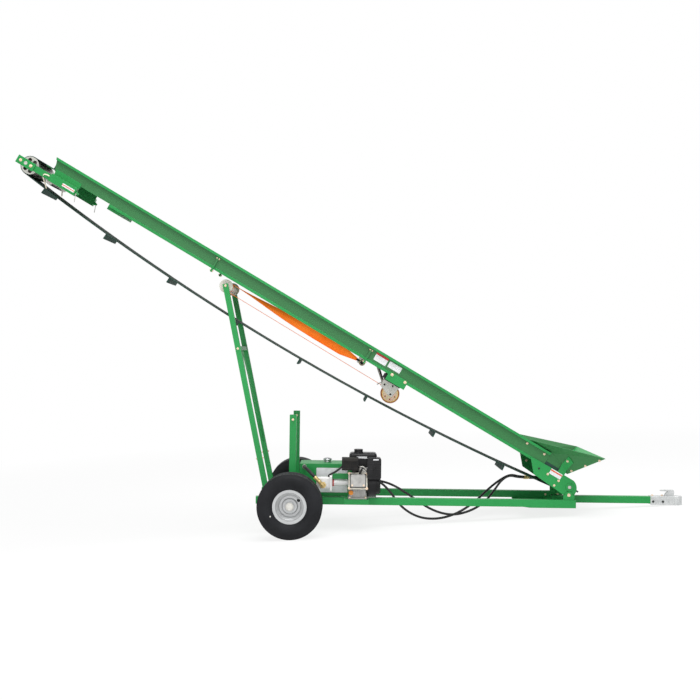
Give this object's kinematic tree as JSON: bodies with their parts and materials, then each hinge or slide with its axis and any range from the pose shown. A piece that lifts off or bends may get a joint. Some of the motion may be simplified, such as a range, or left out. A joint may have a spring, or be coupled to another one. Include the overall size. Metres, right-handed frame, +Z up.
{
  "type": "firewood conveyor",
  "caption": "Towable firewood elevator: a cleated belt in an inclined steel trough hinged to a wheeled tow frame, raised by a winch and folding legs, with an engine and oil tank.",
  "frame": {"origin": "on the floor under the middle of the whole machine, standing on its tyres and its coupler", "axes": "+X along the tow frame towards the coupler, +Y to the far side, +Z up"},
  "size_m": [4.6969, 1.26, 2.8012],
  "materials": {
    "green_paint": "satin",
    "black_paint": "satin",
    "zinc": "satin",
    "cast_grey": "matte",
    "tyre_rubber": "matte",
    "rim_silver": "satin",
    "belt_rubber": "matte",
    "hose_rubber": "matte",
    "strap_web": "matte",
    "roller_white": "satin",
    "black_plastic": "satin",
    "bed_steel": "satin"
  },
  "bodies": {
    "chassis": {"rails": "green_paint", "axle": "green_paint", "front_plate": "green_paint", "drawbar": "green_paint", "coupler_body": "zinc", "coupler_latch": "zinc", "rest_posts": "green_paint", "boom_lugs": "green_paint", "leg_lugs": "green_paint", "oil_tank": "green_paint", "tank_cap": "zinc", "engine_plate": "green_paint", "engine_block": "cast_grey", "engine_shroud": "black_plastic", "engine_tank": "black_plastic", "engine_muffler": "black_paint", "pump": "cast_grey", "hose_long": "hose_rubber", "hose_short": "hose_rubber"},
    "wheel_near": {"tyre_near": "tyre_rubber", "rim_near": "rim_silver"},
    "wheel_far": {"tyre_far": "tyre_rubber", "rim_far": "rim_silver"},
    "boom": {"boom_lower": "green_paint", "boom_middle": "green_paint", "boom_upper": "green_paint", "belt": "belt_rubber", "bed": "bed_steel", "head_pulley": "zinc", "tail_drum": "zinc", "snub_roller": "zinc", "take_ups": "green_paint", "tail_plates": "green_paint", "hopper_sides": "green_paint", "hopper_end": "green_paint", "winch_mount": "green_paint", "winch_drum": "zinc", "winch_crank": "zinc", "lift_strap": "strap_web", "hook_bar": "zinc", "drive_motor": "black_paint"},
    "legs": {"leg_near": "green_paint", "leg_far": "green_paint", "leg_roller": "roller_white", "leg_bars": "green_paint"}
  },
  "joints": [
    {"name": "wheel_near_spin", "type": "hinge", "parent": "chassis", "child": "wheel_near", "pos_m": [-0.51285, -0.53, 0.225], "axis": [0, 1, 0], "continuous": true},
    {"name": "wheel_far_spin", "type": "hinge", "parent": "chassis", "child": "wheel_far", "pos_m": [-0.51285, 0.53, 0.225], "axis": [0, 1, 0], "continuous": true},
    {"name": "boom_lift", "type": "hinge", "parent": "chassis", "child": "boom", "pos_m": [1.46482, 0, 0.15399], "axis": [0, 1, 0], "range_deg": [-16.5, 4], "deforming": ["hose_long", "hose_short", "lift_strap"]},
    {"name": "leg_swing", "type": "hinge", "parent": "chassis", "child": "legs", "pos_m": [-0.6953, 0, 0.29933], "axis": [0, 1, 0], "range_deg": [-45.5, 11.1]}
  ],
  "couplings": [
    {"joint": "leg_swing", "follows": "boom_lift", "ratio": 2.75}
  ]
}
